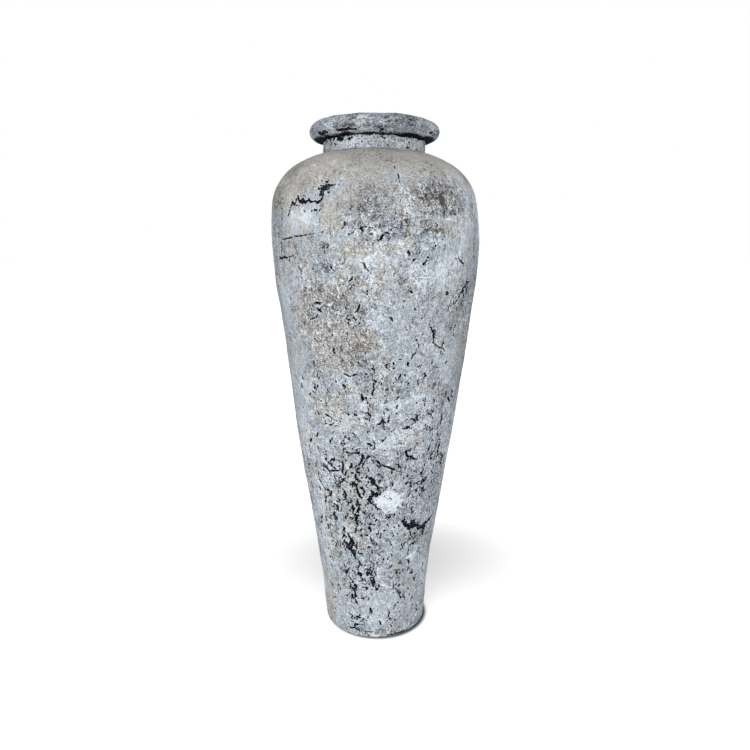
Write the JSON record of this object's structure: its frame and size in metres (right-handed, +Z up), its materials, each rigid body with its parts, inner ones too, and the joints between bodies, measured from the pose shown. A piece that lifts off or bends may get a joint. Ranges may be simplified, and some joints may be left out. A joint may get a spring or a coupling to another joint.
{
  "type": "floor vase",
  "caption": "Tall clay floor vase with a narrow foot, a high round shoulder, a short neck and a fat rolled lip, hollow down to its foot slab for branches or dry stems.",
  "frame": {"origin": "centre of the foot on the floor", "axes": "+Z up the axis of the jar; X and Y are alike, because the jar is round"},
  "size_m": [0.394, 0.394, 1],
  "materials": {
    "foot_clay": "bare matt clay, worn round its lower edge",
    "wall_clay": "matt weathered slip, pale grey with torn skins, scratches and black crevices",
    "shoulder_clay": "smooth matt slip, warm beige going to grey",
    "neck_clay": "matt grey slip with black blotches",
    "lip_clay": "matt blue-grey slip, dark in its hollows"
  },
  "bodies": {
    "root": {"foot_slab": "foot_clay", "lower_wall_ring": "wall_clay", "middle_wall_ring": "wall_clay", "upper_wall_ring": "wall_clay", "belt_wall_ring": "wall_clay", "shoulder_dome": "shoulder_clay", "neck_collar": "neck_clay", "rolled_lip": "lip_clay"}
  },
  "joints": []
}
